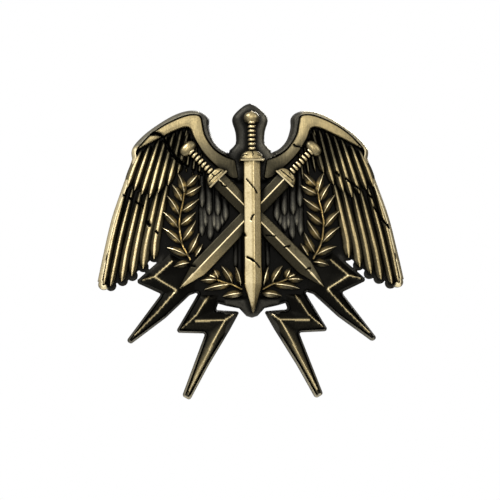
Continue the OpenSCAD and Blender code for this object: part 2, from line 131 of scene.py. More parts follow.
# ---------------------------------------------------------------- solid shells
LONGEST_STRETCH = 400   # points in one stretch of an inset line
FAR = 1000.0            # stands for the distance to a ridge where there is none


class Shell:
    """Closed surfaces gathered for one piece. rub_and_light is 1 where the metal is rubbed bright or
    carries a painted highlight, and low where it is dark with patina or painted shade.
    """

    def __init__(self):
        self.verts = []
        self.faces = []
        self.rub_and_light = []

    def add(self, verts, faces, rub_and_light):
        start = len(self.verts)
        self.verts.extend(tuple(v) for v in verts)
        self.faces.extend(tuple(start + i for i in f) for f in faces)
        self.rub_and_light.extend(rub_and_light)


def skin(shell, rings, rub_and_light, joined=False):
    """Joins rings of points into a closed tube, capped at its ends or joined end to end."""
    count, size = len(rings), len(rings[0])
    faces = []
    for i in range(count if joined else count - 1):
        a, b = i * size, (i + 1) % count * size
        for j in range(size):
            k = (j + 1) % size
            faces.append((a + j, b + j, b + k, a + k))
    if not joined:
        faces.append(tuple(range(size)))
        faces.append(tuple(reversed(range((count - 1) * size, count * size))))
    shell.add(np.concatenate(rings), faces, rub_and_light)


def loft(shell, line, half, high, profile, shine=1.0):
    """A bar along a flat line. profile is its section as (across, up, rub_and_light), -1 to 1 and 0 to 1.
    """
    line = np.asarray(line, float)
    half, high, shine = (np.broadcast_to(v, len(line)) for v in (half, high, shine))
    along = np.gradient(line, axis=0)
    along /= np.linalg.norm(along, axis=1)[:, None]
    across, up, bright = np.array(profile, float).T
    rings, rub_and_light = [], []
    for p, t, w, h, s in zip(line, along, half, high, shine):
        x = p[0] - t[1] * across * w
        z = p[1] + t[0] * across * w
        rings.append(np.stack([x, -(SUNK + (h - SUNK) * up), z], 1))
        rub_and_light.extend(bright * s)
    skin(shell, rings, rub_and_light)


def inset_lines(loops, edge_lines, gap):
    """The stretches of the loops that are still inside them when moved inwards by gap."""
    lines = []
    for loop in loops:
        run = np.roll(loop, -1, 0) - np.roll(loop, 1, 0)
        run /= np.linalg.norm(run, axis=1)[:, None] + 1e-9
        for sign in (-1, 1):
            moved = loop + sign * gap * np.stack([-run[:, 1], run[:, 0]], 1)
            good = inside(moved, loops) & (distance(moved, edge_lines) > gap * 0.97)
            part = []
            for p, ok in zip(np.vstack([moved, moved[:1]]), np.append(good, good[0])):
                if ok:
                    part.append(p)
                if not ok or len(part) > LONGEST_STRETCH:
                    if len(part) > 1:
                        lines.append(np.array(part))
                    part = []
            if len(part) > 1:
                lines.append(np.array(part))
    return lines


def fill_points(loops, keep_off, step):
    """A staggered grid of points inside the loops that keeps off the lines."""
    low, high = loops[0].min(0), loops[0].max(0)
    xs = np.arange(low[0], high[0], step)
    zs = np.arange(low[1], high[1], step * 0.87)
    grid = np.array([(x + (j % 2) * step / 2, z) for j, z in enumerate(zs) for x in xs])
    grid = grid[inside(grid, loops)]
    return grid[distance(grid, keep_off) > step * 0.55]


def triangles(coords, edges, loops):
    """Flat points and triangles inside the loops, with the edges among the triangles' sides."""
    made = delaunay_2d_cdt([Vector(map(float, c)) for c in coords], edges, [], 0, 1e-5)
    flat = np.array([tuple(v) for v in made[0]])
    tris = np.array(made[2])
    tris = tris[inside(flat[tris].mean(1), loops)]
    a, b, c = flat[tris[:, 0]], flat[tris[:, 1]], flat[tris[:, 2]]
    area = (b - a)[:, 0] * (c - a)[:, 1] - (b - a)[:, 1] * (c - a)[:, 0]
    tris = np.where(area[:, None] > 0, tris, tris[:, ::-1])[np.abs(area) > 1e-9]
    used = np.unique(tris)
    new = np.full(len(flat), -1)
    new[used] = np.arange(len(used))
    return flat[used], new[tris]


def closed_faces(tris, n):
    """Front triangles, the same n points further on for the back, and walls between them."""
    faces = [tuple(t) for t in tris]
    faces += [(t[2] + n, t[1] + n, t[0] + n) for t in tris]
    sides = {}
    for t in tris:
        for e in zip(t, t[1:] + t[:1]):
            sides[e] = sides.get(e, 0) + 1
    faces += [(j, i, i + n, j + n) for i, j in sides if (j, i) not in sides]
    return faces


def relief(shell, loops, top, step, ridges=(), insets=(), bottom=None):
    """A solid over flat loops, the first round its outside. top gives each point's height and
    rub_and_light from its place, its distance to the edge and its distance to the nearest ridge."""
    loops = [straight(closed(l), step)[:-1] for l in loops]
    edge_lines = [closed(l) for l in loops]
    ridges = [straight(r, step) for r in ridges]
    inner = [line for gap in insets for line in inset_lines(loops, edge_lines, gap)]
    coords, edges = [], []
    for number, line in enumerate(loops + ridges + inner):
        start = len(coords)
        coords.extend(line)
        edges.extend((start + i, start + i + 1) for i in range(len(line) - 1))
        if number < len(loops):
            edges.append((start + len(line) - 1, start))
    coords.extend(fill_points(loops, edge_lines + ridges + inner, step))
    flat, tris = triangles(coords, edges, loops)
    to_edge = distance(flat, edge_lines)
    to_ridge = distance(flat, ridges) if ridges else np.full(len(flat), FAR)
    height, rub_and_light = top(flat, to_edge, to_ridge)
    under = bottom(flat, to_edge) if bottom else np.full(len(flat), SUNK)
    n = len(flat)
    front = np.stack([flat[:, 0], -height, flat[:, 1]], 1)
    back = np.stack([flat[:, 0], -under, flat[:, 1]], 1)
    shell.add(np.vstack([front, back]), closed_faces(tris.tolist(), n),
              np.concatenate([rub_and_light, np.full(n, UNDERSIDE_RUB)]))


def lathe(shell, x, rows, spokes=40, z=0.0, hollow=False):
    """Turns a section round an axis along Y. rows are (distance from axis, y, rub_and_light). A hollow
    section's last row joins its first."""
    angle = 2 * math.pi * np.arange(spokes) / spokes
    rings = [
        np.stack([x + r * np.cos(angle), np.full(spokes, y), z + r * np.sin(angle)], 1)
        for r, y, _ in rows
    ]
    skin(shell, rings, [b for _, _, b in rows for _ in range(spokes)], joined=hollow)


def mirrored(half):
    """A whole section from the half of it on the right, which ends in the middle."""
    return [(-u, v, r) for u, v, r in half] + half[-2::-1]


def finer(section, step):
    """The same section with more points across it."""
    points = np.array(section, float)
    rows = [tuple(points[0])]
    for a, b in zip(points[:-1], points[1:]):
        count = max(1, round(abs(b[0] - a[0]) / step))
        rows.extend(tuple(a + (b - a) * k / count) for k in range(1, count + 1))
    return rows


# ---------------------------------------------------------------- dents and cracks
# Damage to the casting: the line it follows, half its width and its depth.
DENTED_ABOVE = 1.25     # only points higher than this are dented, and never lower than DEEPEST
DEEPEST = 1.1
SCAR_REACH = 6          # how far from its middle a scar is looked for
SCARS = [
    ([(-18.1, 10.1), (-17.2, 10.25), (-16.3, 9.8), (-15.5, 8.5), (-14.5, 6.7), (-13.6, 5.6),
      (-12.2, 4.4), (-10.9, 3.5), (-9.1, 2.8)], 0.22, 1.0),
    ([(7.9, 8.1), (8.4, 7.8), (8.9, 7.75), (9.6, 7.3)], 0.055, 0.25),
    ([(-0.95, 1.7), (-0.4, 1), (0, 0.46), (0.45, -0.1), (0.9, -0.9)], 0.08, 0.35),
    ([(0.3, -4.86), (0, -5.1), (-0.26, -5.8)], 0.1, 0.35),
    ([(-1.5, -8.2), (-1.3, -8.6)], 0.16, 0.5),
    ([(-0.95, -12.5), (-0.2, -12.9), (0.2, -13.3)], 0.15, 0.45),
    ([(0.2, -13.3), (0.6, -13.5), (1.25, -14.4)], 0.08, 0.35),
    ([(-23.3, -1), (-21.9, -1.7), (-20.7, -2.5), (-19.8, -3.1)], 0.12, 0.8),
    ([(-18.9, -6), (-18.6, -6.5)], 0.22, 0.7),
    ([(-17.5, -7.6), (-17.1, -8)], 0.12, 0.6),
    ([(15.7, 3), (16.2, 2.5)], 0.14, 0.7),
    ([(17.4, 1.9), (18.5, 1), (20, -0.1)], 0.11, 0.7),
    ([(21.2, -0.7), (22.4, -1.8)], 0.11, 0.7),
    ([(22.6, -3.4), (23.8, -5.3), (25.3, -7.2)], 0.12, 0.7),
    ([(-5.6, 1.2), (-5.3, 0.6), (-4.6, 0.4)], 0.09, 0.3),
    ([(2.6, -8.5), (3.4, -8.6), (4.2, -8.7)], 0.09, 0.3),
    ([(5.9, -10.7), (6.9, -10.5)], 0.1, 0.35),
    ([(9.8, -14.8), (10.6, -14.6)], 0.1, 0.3),
    ([(-11.2, -13.9), (-10.4, -14.1)], 0.12, 0.35),
    ([(-7.7, 1.3), (-6.9, 2.2), (-6.3, 2.6), (-5.5, 3.3)], 0.06, 0.25),
    ([(-7.2, 2.7), (-6.9, 2.4)], 0.06, 0.25),
    ([(5.5, 3.3), (6.1, 2.8), (6.9, 2.1), (7.6, 1.5)], 0.06, 0.25),
    ([(6.9, 3), (7.1, 2.5)], 0.05, 0.2),
    ([(-1.7, 5.9), (-1.2, 6.15), (-0.8, 6.05)], 0.06, 0.2),
    ([(0.1, 6.7), (0.3, 6.2), (0.2, 5.95)], 0.05, 0.2),
    ([(1.1, 6.05), (1.6, 5.95)], 0.05, 0.2),
]


def dent(verts, rub_and_light):
    """Presses the scars into whatever lies on top of them."""
    flat = verts[:, [0, 2]]
    for line, half, depth in SCARS:
        line = np.array(line, float)
        near = (np.abs(flat - line.mean(0)).max(1) < SCAR_REACH) & (verts[:, 1] < -DENTED_ABOVE)
        if not near.any():
            continue
        away = distance(flat[near], [line])
        cut = np.exp(-(away / half) ** 2)
        verts[near, 1] = np.minimum(verts[near, 1] + depth * cut, -DEEPEST)
        rub_and_light[near] *= 1 - np.clip(cut * 1.3, 0, 1)


def outward_mesh(name, verts, faces):
    """A mesh from points in millimetres, with its faces turned outwards."""
    mesh = bpy.data.meshes.new(name)
    mesh.from_pydata((np.array(verts) * MM).tolist(), [], faces)
    bm = bmesh.new()
    bm.from_mesh(mesh)
    bmesh.ops.recalc_face_normals(bm, faces=bm.faces)
    bm.to_mesh(mesh)
    bm.free()
    return mesh


def in_scene(name, data):
    thing = bpy.data.objects.new(name, data)
    bpy.context.scene.collection.objects.link(thing)
    return thing


def make_piece(name, shell, material, nodes, body="badge", mirror=False, sharp=38):
    verts = np.array(shell.verts, float)
    rub_and_light = np.array(shell.rub_and_light, float)
    if mirror:
        verts[:, 0] *= -1
    dent(verts, rub_and_light)
    mesh = outward_mesh(name, verts, shell.faces)
    value = mesh.attributes.new("rub_and_light", "FLOAT", "POINT")
    value.data.foreach_set("value", rub_and_light)
    mesh.polygons.foreach_set("use_smooth", [True] * len(mesh.polygons))
    mesh.set_sharp_from_angle(angle=math.radians(sharp))
    piece = in_scene(name, mesh)
    mesh.materials.append(material)
    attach(piece, body)
    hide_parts(*nodes)
    return piece


# ---------------------------------------------------------------- materials
class Nodes:
    """Short names for making and joining shader nodes."""

    def __init__(self, name):
        self.material = bpy.data.materials.new(name)
        self.material.use_nodes = True
        self.tree = self.material.node_tree
        self.shader = self.tree.nodes["Principled BSDF"]

    def add(self, kind, **inputs):
        node = self.tree.nodes.new(kind)
        for key, value in inputs.items():
            self.put(node.inputs[int(key[1:]) if key[1:].isdigit() else key.replace("_", " ")],
                     value)
        return node

    def put(self, socket, value):
        if isinstance(value, bpy.types.NodeSocket):
            self.tree.links.new(value, socket)
        else:
            socket.default_value = value

    def math(self, operation, a, b, clamp=False):
        node = self.add("ShaderNodeMath", i0=a, i1=b)
        node.operation = operation
        node.use_clamp = clamp
        return node.outputs[0]

    def noise(self, where, scale, detail=3.0, rough=0.6):
        node = self.add("ShaderNodeTexNoise", Vector=where, Scale=scale, Detail=detail,
                        Roughness=rough)
        return node.outputs["Fac"]

    def ramp(self, value, stops):
        node = self.add("ShaderNodeValToRGB", Fac=value)
        items = node.color_ramp.elements
        while len(items) < len(stops):
            items.new(0.5)
        for item, (at, colour) in zip(items, stops):
            item.position = at
            item.color = (*colour, 1)
        return node.outputs["Color"]


# Colours from the dark finish in the hollows to the rubbed metal
PATINA = [
    (0.0, (0.006, 0.0057, 0.0047)), (0.28, (0.048, 0.042, 0.026)), (0.55, (0.2, 0.168, 0.095)),
    (0.8, (0.54, 0.425, 0.21)), (1.0, (0.9, 0.76, 0.46)),
]
LEAF_PATINA = [
    (0.0, (0.007, 0.0067, 0.0058)), (0.28, (0.054, 0.049, 0.036)), (0.55, (0.22, 0.188, 0.115)),
    (0.8, (0.55, 0.44, 0.235)), (1.0, (0.9, 0.76, 0.46)),
]
GREY_PATINA = [
    (0.0, (0.008, 0.0078, 0.007)), (0.28, (0.06, 0.057, 0.047)), (0.55, (0.24, 0.22, 0.16)),
    (0.8, (0.55, 0.46, 0.27)), (1.0, (0.88, 0.76, 0.48)),
]


def antique_brass(name, shift=0.0, brush=(1, 1, 1), brush_depth=0.0, rough=(0.5, 0.3),
                  patina=PATINA, patina_and_shade=1.0):
    """Brass with a dark finish in its hollows that has been rubbed off where it stands proud, with painted
    shade from ambient occlusion in its hollows and beside neighbouring parts, and painted light and shade
    carried in its rub_and_light attribute.
    brush stretches the fine lines left by polishing."""
    n = Nodes(name)
    place = n.add("ShaderNodeTexCoord").outputs["Object"]
    attribute = n.add("ShaderNodeAttribute")
    attribute.attribute_name = "rub_and_light"
    rub_and_light = attribute.outputs["Fac"]
    hollow = n.add("ShaderNodeAmbientOcclusion", Distance=0.0011)
    hollow.samples = 8
    open_air = hollow.outputs["AO"]
    blotch = n.noise(place, 260.0, 4.0)
    grain = n.noise(place, 2600.0, 3.0, 0.7)
    lines = n.noise(n.add("ShaderNodeMapping", Vector=place, Scale=brush).outputs[0], 5200.0, 2.0)
    spread = n.math("ADD", n.math("MULTIPLY", n.math("SUBTRACT", blotch, 0.5), 0.35),
                    n.math("MULTIPLY", n.math("SUBTRACT", grain, 0.5), 0.3))
    spread = n.math("ADD", spread, n.math("MULTIPLY", n.math("SUBTRACT", lines, 0.5), 0.35))
    uneven = n.math("ADD", n.math("MULTIPLY", rub_and_light, 0.75), 0.3)
    wear_and_light = n.math("ADD", n.math("ADD", rub_and_light, n.math("MULTIPLY", spread, uneven)), shift)
    # Ambient occlusion darkens the colour in hollows and beside neighbouring parts: partly the patina that
    # collects there, partly painted shade.
    shade = n.math("MULTIPLY", n.math("SUBTRACT", 1.0, open_air), 1.1 * patina_and_shade)
    wear_and_light = n.math("SUBTRACT", wear_and_light, shade, clamp=True)
    colour = n.ramp(wear_and_light, patina)
    n.put(n.shader.inputs["Base Color"], colour)
    n.put(n.shader.inputs["Metallic"], 1.0)
    gloss = n.add("ShaderNodeMapRange", Value=n.math("ADD", wear_and_light, n.math("MULTIPLY", grain, 0.2)))
    gloss.inputs["To Min"].default_value = rough[0]
    gloss.inputs["To Max"].default_value = rough[1]
    n.put(n.shader.inputs["Roughness"], gloss.outputs[0])
    rise = n.math("ADD", n.math("MULTIPLY", grain, 0.00002),
                  n.math("MULTIPLY", lines, 0.00002 * brush_depth))
    bump = n.add("ShaderNodeBump", Height=n.math("ADD", rise, n.math("MULTIPLY", blotch, 0.00004)))
    bump.inputs["Strength"].default_value = 0.6
    bump.inputs["Distance"].default_value = 1.0
    n.put(n.shader.inputs["Normal"], bump.outputs[0])
    return n.material


PLATE = antique_brass("plate_brass", rough=(0.5, 0.36), patina=GREY_PATINA)
BAND = antique_brass("brushed_brass", brush=(1, 1, 0.06), brush_depth=1.0, rough=(0.5, 0.36),
                     patina_and_shade=0.6)
FEATHER = antique_brass("feather_brass", patina_and_shade=0.45)
BREAST = antique_brass("dull_brass", shift=-0.03, rough=(0.55, 0.42), patina=GREY_PATINA)
BOLT = antique_brass("black_brass", shift=-0.04, rough=(0.45, 0.3))
LEAF = antique_brass("leaf_brass", shift=0.02, patina=LEAF_PATINA, patina_and_shade=0.4)
SWORD = antique_brass("sword_brass", rough=(0.45, 0.3), patina_and_shade=0.55)
SPRING = antique_brass("spring_brass", brush=(0.08, 1, 1), brush_depth=0.8, rough=(0.42, 0.26),
                       patina_and_shade=0.5)
FITTING = antique_brass("fitting_brass", rough=(0.45, 0.28), patina_and_shade=0.6)


# ---------------------------------------------------------------- plate
def cad_loops(node):
    """The closed edges of a CAD node's flat back, apart from its round holes."""
    bm = bmesh.new()
    bm.from_mesh(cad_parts[node].data)
    bmesh.ops.remove_doubles(bm, verts=bm.verts, dist=1e-6)
    bm.verts.index_update()
    flat = {f for f in bm.faces if all(abs(v.co.y) < 1e-6 for v in f.verts)}
    after = {}
    for f in flat:
        for loop in f.loops:
            if sum(g in flat for g in loop.edge.link_faces) == 1:
                after[loop.vert.index] = loop.link_loop_next.vert.index
    place = {v.index: (v.co.x / MM, v.co.z / MM) for v in bm.verts}
    bm.free()
    loops = []
    while after:
        start, i = after.popitem()
        ring = [start]
        while i != start:
            ring.append(i)
            i = after.pop(i)
        loop = np.array([place[i] for i in ring])
        spread = np.linalg.norm(loop - loop.mean(0), axis=1)
        if np.ptp(spread) > 0.1 * spread.mean():
            loops.append(loop)
    loops.sort(key=lambda l: -np.ptp(l[:, 0]))
    return loops


def soft(value, low, high):
    """0 below low, 1 above high, and smooth between them."""
    t = np.clip((value - low) / (high - low), 0, 1)
    return t * t * (3 - 2 * t)


def plate_top(p, to_edge, _):
    """Height and rub_and_light of the plate's front: its rim, the pillow behind the hilt and the ground.
    """
    flat = np.stack([np.abs(p[:, 0]), p[:, 1]], 1)
    x, z = flat.T
    to_rim = distance(p, [closed(plate_loops[0])])
    height = np.interp(to_rim, [0, 0.1, 0.6, 0.85, 0.98, 1.1], [1.3, 1.75, 2.25, 2.25, 1.6, GROUND])
    rub_and_light = np.interp(to_rim, [0, 0.08, 0.8, 0.98, 1.12], [0.72, 0.86, 0.95, 0.2, 0.0])

    def lay(new_height, new_rub_and_light, part):
        nonlocal height, rub_and_light
        height = height + (new_height - height) * part
        rub_and_light = rub_and_light + (new_rub_and_light - rub_and_light) * part

    # Beside the band the rim is as wide as the band leaves room for, apart from a fine groove
    band_edge = distance(flat, [spline(ARM_TOP, 0.2)])
    beside = (band_edge < 2.4) & (band_edge < distance(flat, [spline(ARM_BOTTOM, 0.2)]))
    beside = (beside & ~inside(flat, [arm_outline()])) * np.where(x > 12, soft(z, 7.2, 8.4), soft(z, 5, 6))
    lip = np.interp(to_rim, [0, 0.1, 0.5], [1.3, 1.65, 2.4])
    lip_rub = np.interp(to_rim, [0, 0.1, 0.5], [0.42, 0.55, 0.58]) + 0.005 * p[:, 0]
    lip_rub *= 1 - 0.5 * soft(9.7 - x, 0, 0.7)
    lay(np.minimum(lip, np.interp(band_edge, [0.02, 0.14], [1.7, 2.4])),
        np.minimum(lip_rub, np.interp(band_edge, [0.04, 0.16], [0.05, 0.64])), beside)
    low = np.maximum(soft(-z, 18.2, 19.2), soft(-z, 12.5, 13.5) * soft(17.8 - x, 0, 0.6))
    tail = np.clip((-z - 24) / 10, 0, 1)
    lay(np.interp(to_rim, [0, 0.12, 0.35, 0.5, 0.62], [1.15, 1.42, 1.6, 1.58, GROUND]),
        np.interp(to_rim, [0, 0.1, 0.4, 0.55], [0.2, 0.28, 0.32, 0.0]) * (1 + tail), low)
    under_wing = soft(x, 15.6, 16.4) * soft(26.6 - x, 0, 0.6) * soft(-z, 11.6, 12.4)
    lay(GROUND + 0.15, 0.14, under_wing * soft(19.4 + z, 0, 0.6))
    # Behind the hilt, and below the sprigs round the sword's point, the plate is a smooth swelling
    t = np.clip(to_rim / 1.9, 0, 1)
    pillow = 1.05 + 0.95 * np.sqrt(1 - (1 - t) ** 2)
    lay(pillow - 0.25, 0.2, soft(5.6 - x, 0, 0.8) * soft(-z, 19.4, 20.4))
    reach = np.interp(z, [1.5, 5.4, 6.2], [3.2, 3.7, 4.8])
    # The pillow behind the hilt is painted lighter towards its right side, a painted highlight.
    lay(pillow, np.interp(z, [2, 6, 8], [0.24, 0.21, 0.24]) + 0.05 * p[:, 0] * soft(z, 4, 6),
        soft(reach - x, 0, 0.8) * soft(z, 1.2, 2))
    return height - np.where(to_edge < 0.12, 0.15, 0.0), rub_and_light


def plate_bottom(p, to_edge):
    return np.interp(to_edge, [0, 0.15, 0.3], [0.2, 0.03, 0.0])


# ---------------------------------------------------------------- wings
ARM_TOP = [(20.8, 7.3), (18.4, 9.85), (15.4, 11.95), (11.7, 13.5), (9.35, 13.45), (8.85, 11.9),
           (8.35, 9.8), (6.8, 7.5), (4.8, 6.1), (2.8, 5.4)]
ARM_BOTTOM = [(2.2, 2), (3.7, 2), (6.3, 4.1), (8.5, 6.3), (10.3, 9.1), (11.15, 11.1),
              (12.6, 11.2), (16, 9.7), (19.4, 7.9)]


def arm_outline():
    return np.vstack([spline(ARM_TOP, 0.35), spline(ARM_BOTTOM, 0.35)])


plate_loops = cad_loops("back_plate")
shell = Shell()
band_lines = []
for side in (-1, 1):
    line = spline(ARM_TOP, 0.35)[2:-8]
    run = np.gradient(line, axis=0)
    out = np.stack([-run[:, 1], run[:, 0]], 1) / np.linalg.norm(run, axis=1)[:, None]
    band_lines += [(line - out * gap) * (side, 1) for gap in (0.03, 0.16)]
relief(shell, plate_loops, plate_top, 0.4, ridges=band_lines,
       insets=(0.1, 0.35, 0.62, 0.8, 0.95, 1.1), bottom=plate_bottom)
make_piece("plate", shell, PLATE, ["back_plate"])


def arm_top(p, to_edge, _):
    x, z = np.abs(p[:, 0]), p[:, 1]
    height = np.interp(to_edge, [0, 0.08, 0.22, 0.9], [2.2, 2.5, ARM_H - 0.08, ARM_H])
    fade = np.clip((z - 3.4) / 6.5, 0, 1) * np.clip((x - 3) / 4, 0, 1)
    edge = np.interp(to_edge, [0, 0.06, 0.2], [0.3, 0, 0]) * soft(fade, 0, 0.15)
    return height - 0.45 * (1 - fade), (0.7 - edge) * (0.4 + 0.6 * fade)


FEATHER_HALF = [
    (1, 0, 0), (1, 0.42, 0.12), (0.9, 0.56, 0.34), (0.7, 0.68, 0.43), (0.5, 0.78, 0.46),
    (0.34, 0.88, 0.56), (0.21, 0.98, 0.86), (0, 1, 0.9),
]
FEATHER_PROFILE = mirrored(FEATHER_HALF)
PRIMARIES = [
    [(22.8, 0.6), (24.95, -7.25), (26, -12), (27, -17.4)],
    [(21.6, 0.1), (23.5, -7), (24.6, -11.9), (25.75, -17.5)],
    [(20.2, -0.4), (22.3, -9), (23, -12.1), (23.75, -16.7)],
    [(18.9, -0.8), (20.7, -8.8), (21.4, -12.5), (21.9, -15.7)],
    [(17, -0.1), (19, -8.8), (19.5, -11.4), (19.85, -14.4)],
    [(15.4, 0.7), (17.4, -8.3), (17.7, -10.4), (17.85, -12.7)],
]
SECONDARIES = [
    [(20, 7.2), (21.5, 3.7), (22.6, 0.4)],
    [(18.5, 8.1), (19.85, 4.3), (21.3, -0.1)],
    [(16.8, 9.1), (18.3, 4.5), (20, -0.9)],
    [(15.4, 9.8), (17, 4.4), (18.6, -1.5)],
    [(14.1, 10.3), (15.6, 4.6), (17, -0.6)],
    [(12.7, 10.8), (14, 5.3), (15.2, 0.8)],
    [(11.5, 10.4), (12.5, 6.4), (13.4, 3)],
]
PRIMARY_WIDTHS = (1.45, 1.5, 1.75, 1.85, 1.95, 1.9)
SECONDARY_WIDTH = 1.75
COVERT_WIDTH = 0.95
# How much of each secondary feather, from its root, is dark
SECONDARY_DARK = (0.08, 0.1, 0.14, 0.25, 0.4, 0.55, 0.8)
COVERTS = [
    [(11.6, 11.3), (12, 9.4), (12.4, 7.2)], [(12.7, 11.1), (13.1, 9.2), (13.6, 7)],
    [(13.9, 10.7), (14.3, 9), (14.8, 6.8)], [(10.8, 9.4), (11.3, 6.5), (11.9, 3.2)],
    [(9.9, 8), (10.3, 5.5), (10.7, 2.6)], [(9, 6.8), (9.3, 4.5), (9.6, 1.8)],
]


def feather(shell, points, width, high, dark_part=0.12, dark_root=0.75, painted_shade=1.0):
    line = spline(points, 0.2)
    s = fractions(line)
    length = float(np.sum(np.linalg.norm(np.diff(line, axis=0), axis=1)))
    to_tip = (1 - s) * length
    tip = np.interp(to_tip, [0, 0.15, 0.7, 1.8], [0.12, 0.35, 0.72, 1])
    half = width / 2 * np.interp(s, [0, 0.25, 0.6, 1], [0.6, 0.85, 1, 1]) * tip
    up = np.interp(s, [0, 0.08], [high - 0.4, high]) - np.interp(to_tip, [0, 0.6], [0.3, 0])
    shine = painted_shade * np.interp(s, [0, dark_part, dark_part + 0.2, 2],
                            [dark_root * 0.7, dark_root, 1, 1])
    loft(shell, line, half, up, FEATHER_PROFILE, shine=shine)


def wing(side):
    name = "left" if side < 0 else "right"
    flip = side < 0
    shell = Shell()
    cracks = [np.array(s[0]) * (side, 1) for s in SCARS if np.sign(s[0][0][0]) == side
              and s[0][0][1] > 7]
    relief(shell, [arm_outline()], arm_top, 0.3, insets=(0.1, 0.24), ridges=cracks)
    make_piece(name + "_wing_edge", shell, BAND, [name + "_wing_arm"], mirror=flip)
    shell = Shell()
    # The right wing's feathers are painted a little darker than the left wing's, a painted shade on the
    # side away from the key light.
    painted_shade = 0.99 if flip else 0.9
    for points, width in zip(PRIMARIES, PRIMARY_WIDTHS):
        feather(shell, points, width, FEATHER_H - 0.15, painted_shade=painted_shade)
    make_piece(name + "_long_feathers", shell, FEATHER,
               [name + "_primary_feathers"], mirror=flip)
    shell = Shell()
    for points, dark_part in zip(SECONDARIES, SECONDARY_DARK):
        feather(shell, points, SECONDARY_WIDTH, FEATHER_H + 0.05, dark_part, dark_root=0.5,
                painted_shade=0.97 * painted_shade)
    # The small feathers next to the band are painted darker, a painted shade cast by the band and the
    # secondary feathers above them.
    for points in COVERTS:
        feather(shell, points, COVERT_WIDTH, FEATHER_H - 0.3, painted_shade=0.52)
    make_piece(name + "_short_feathers", shell, FEATHER,
               [name + "_secondary_feathers"], mirror=flip)


for side in (-1, 1):
    wing(side)

# ---------------------------------------------------------------- breast and tail
DOWN_HALF = [
    (1, 0, 0), (1, 0.3, 0.02), (0.92, 0.6, 0.16), (0.7, 0.84, 0.3), (0.3, 0.95, 0.36), (0, 1, 0.5),
]
DOWN_PROFILE = mirrored(DOWN_HALF)
BREAST_ROWS = [
    ((9, -3.3), 7.5, 2.05), ((7.7, -4.7), 6.5, 2.1), ((6.1, -4.9), 5.5, 2.05), ((4.7, -5.9), 4.2, 2.0),
    ((9.1, -8.6), 6, 1.8), ((7.5, -9.4), 6.4, 1.85), ((6.1, -8), 5, 1.8), ((8.4, -6.9), 5, 1.7),
    ((6.8, -7.3), 5, 1.7), ((5.3, -6.8), 3, 1.7),
]
TAIL = [(-2.9, -14.5), (-2.1, -16.2), (2.1, -16.2), (2.9, -14.5)]


def down_feather(shell, tip, length, width, high, shine=1.0):
    line = straight([(tip[0], tip[1] + length), tip], 0.2)
    to_tip = (1 - fractions(line)) * length
    half = width / 2 * np.interp(to_tip, [0, 0.12, 0.5, 1.3, 2.6], [0.1, 0.4, 0.75, 1, 0.92])
    up = high - np.interp(to_tip, [0, 0.7, 3, 5], [0.3, 0, 0.1, 0.3])
    loft(shell, line, half, up, DOWN_PROFILE,
         shine=shine * np.interp(to_tip, [0, 0.8, 3.5], [1, 1, 0.45]))


for name, flip in SIDES:
    shell = Shell()
    for tip, length, high in BREAST_ROWS:
        down_feather(shell, tip, length, 1.5, high)
    make_piece(name + "_breast", shell, BREAST, [name + "_breast_feathers"], mirror=flip)
shell = Shell()
for tip in TAIL:
    down_feather(shell, tip, 8, 1.1, 1.7, 0.5)
make_piece("tail", shell, BREAST, ["tail_feathers"])


# ---------------------------------------------------------------- bolts
OUTER_BOLT = [(15, -11), (17.2, -13.2), (21.3, -16.8), (16.6, -19), (23, -27.5), (22.1, -28.05),
              (18.6, -25.6), (15.8, -23.4), (12.6, -20.5), (11.4, -19.3), (10, -18.8), (10, -14)]
OUTER_RIDGES = [
    [(14.5, -13.1), (17.75, -15.9), (13.8, -18.4), (17.3, -22.3), (21.9, -26.8)],
    [(17.75, -15.9), (20.4, -16.5)],
]
INNER_BOLT = [(9.75, -18.8), (14.1, -26.1), (8.6, -26.3), (12.9, -37.6), (11.5, -38.4), (8.1, -32.2),
              (4.1, -25.7), (2.2, -22.3), (6.6, -22), (5.5, -18.8)]
INNER_RIDGES = [
    [(7.9, -19.4), (10.3, -23), (13.1, -25.4)],
    [(10.4, -24), (5, -23.9), (7.2, -27.8), (8.9, -31.2), (10.6, -34.3), (11.7, -36.6)],
    [(5, -23.9), (3.4, -22.7)],
]


BOLT_INSET = 0.52       # the plate's rim shows this wide round a bolt
BOLT_EDGE_H = 1.35


def shrink(loop, gap):
    """A loop moved inwards by gap."""
    loop = np.array(loop, float)
    a, b, c = np.roll(loop, 1, 0), loop, np.roll(loop, -1, 0)
    u = (b - a) / np.linalg.norm(b - a, axis=1)[:, None]
    v = (c - b) / np.linalg.norm(c - b, axis=1)[:, None]
    turn = np.sum(loop[:, 0] * np.roll(loop, -1, 0)[:, 1] - np.roll(loop, -1, 0)[:, 0] * loop[:, 1])
    n = np.sign(turn) * (np.stack([-u[:, 1], u[:, 0]], 1) + np.stack([-v[:, 1], v[:, 0]], 1))
    n /= np.maximum(0.5, np.sum(n * n, 1) / 2)[:, None]
    return loop + n * gap


def bolt_top(p, to_edge, to_ridge):
    rise = to_edge / (to_edge + to_ridge + 1e-6)
    height = BOLT_EDGE_H + (BOLT_H - BOLT_EDGE_H) * rise ** 1.15
    tail = np.clip((-p[:, 1] - 24) / 10, 0, 1)
    # Round each ridge the face is painted lighter, a painted highlight that fades away from the ridge and
    # grows stronger towards the bolt's tail.
    glow = (0.08 + 0.5 * tail) * np.exp(-to_ridge / 0.6)
    rub_and_light = np.where(to_ridge < 0.07, 0.98, 0.02 + 0.46 * tail + glow)
    return height, rub_and_light


for name, flip in SIDES:
    for kind, outline, ridges in (("outer", OUTER_BOLT, OUTER_RIDGES),
                                  ("inner", INNER_BOLT, INNER_RIDGES)):
        shell = Shell()
        ridge_lines = [straight(r, 0.3) for r in ridges]
        relief(shell, [shrink(outline, BOLT_INSET)], bolt_top, 0.3, ridges=ridge_lines)
        make_piece(f"{name}_{kind}_bolt_face", shell, BOLT, [f"{name}_{kind}_bolt"],
                   mirror=flip, sharp=25)
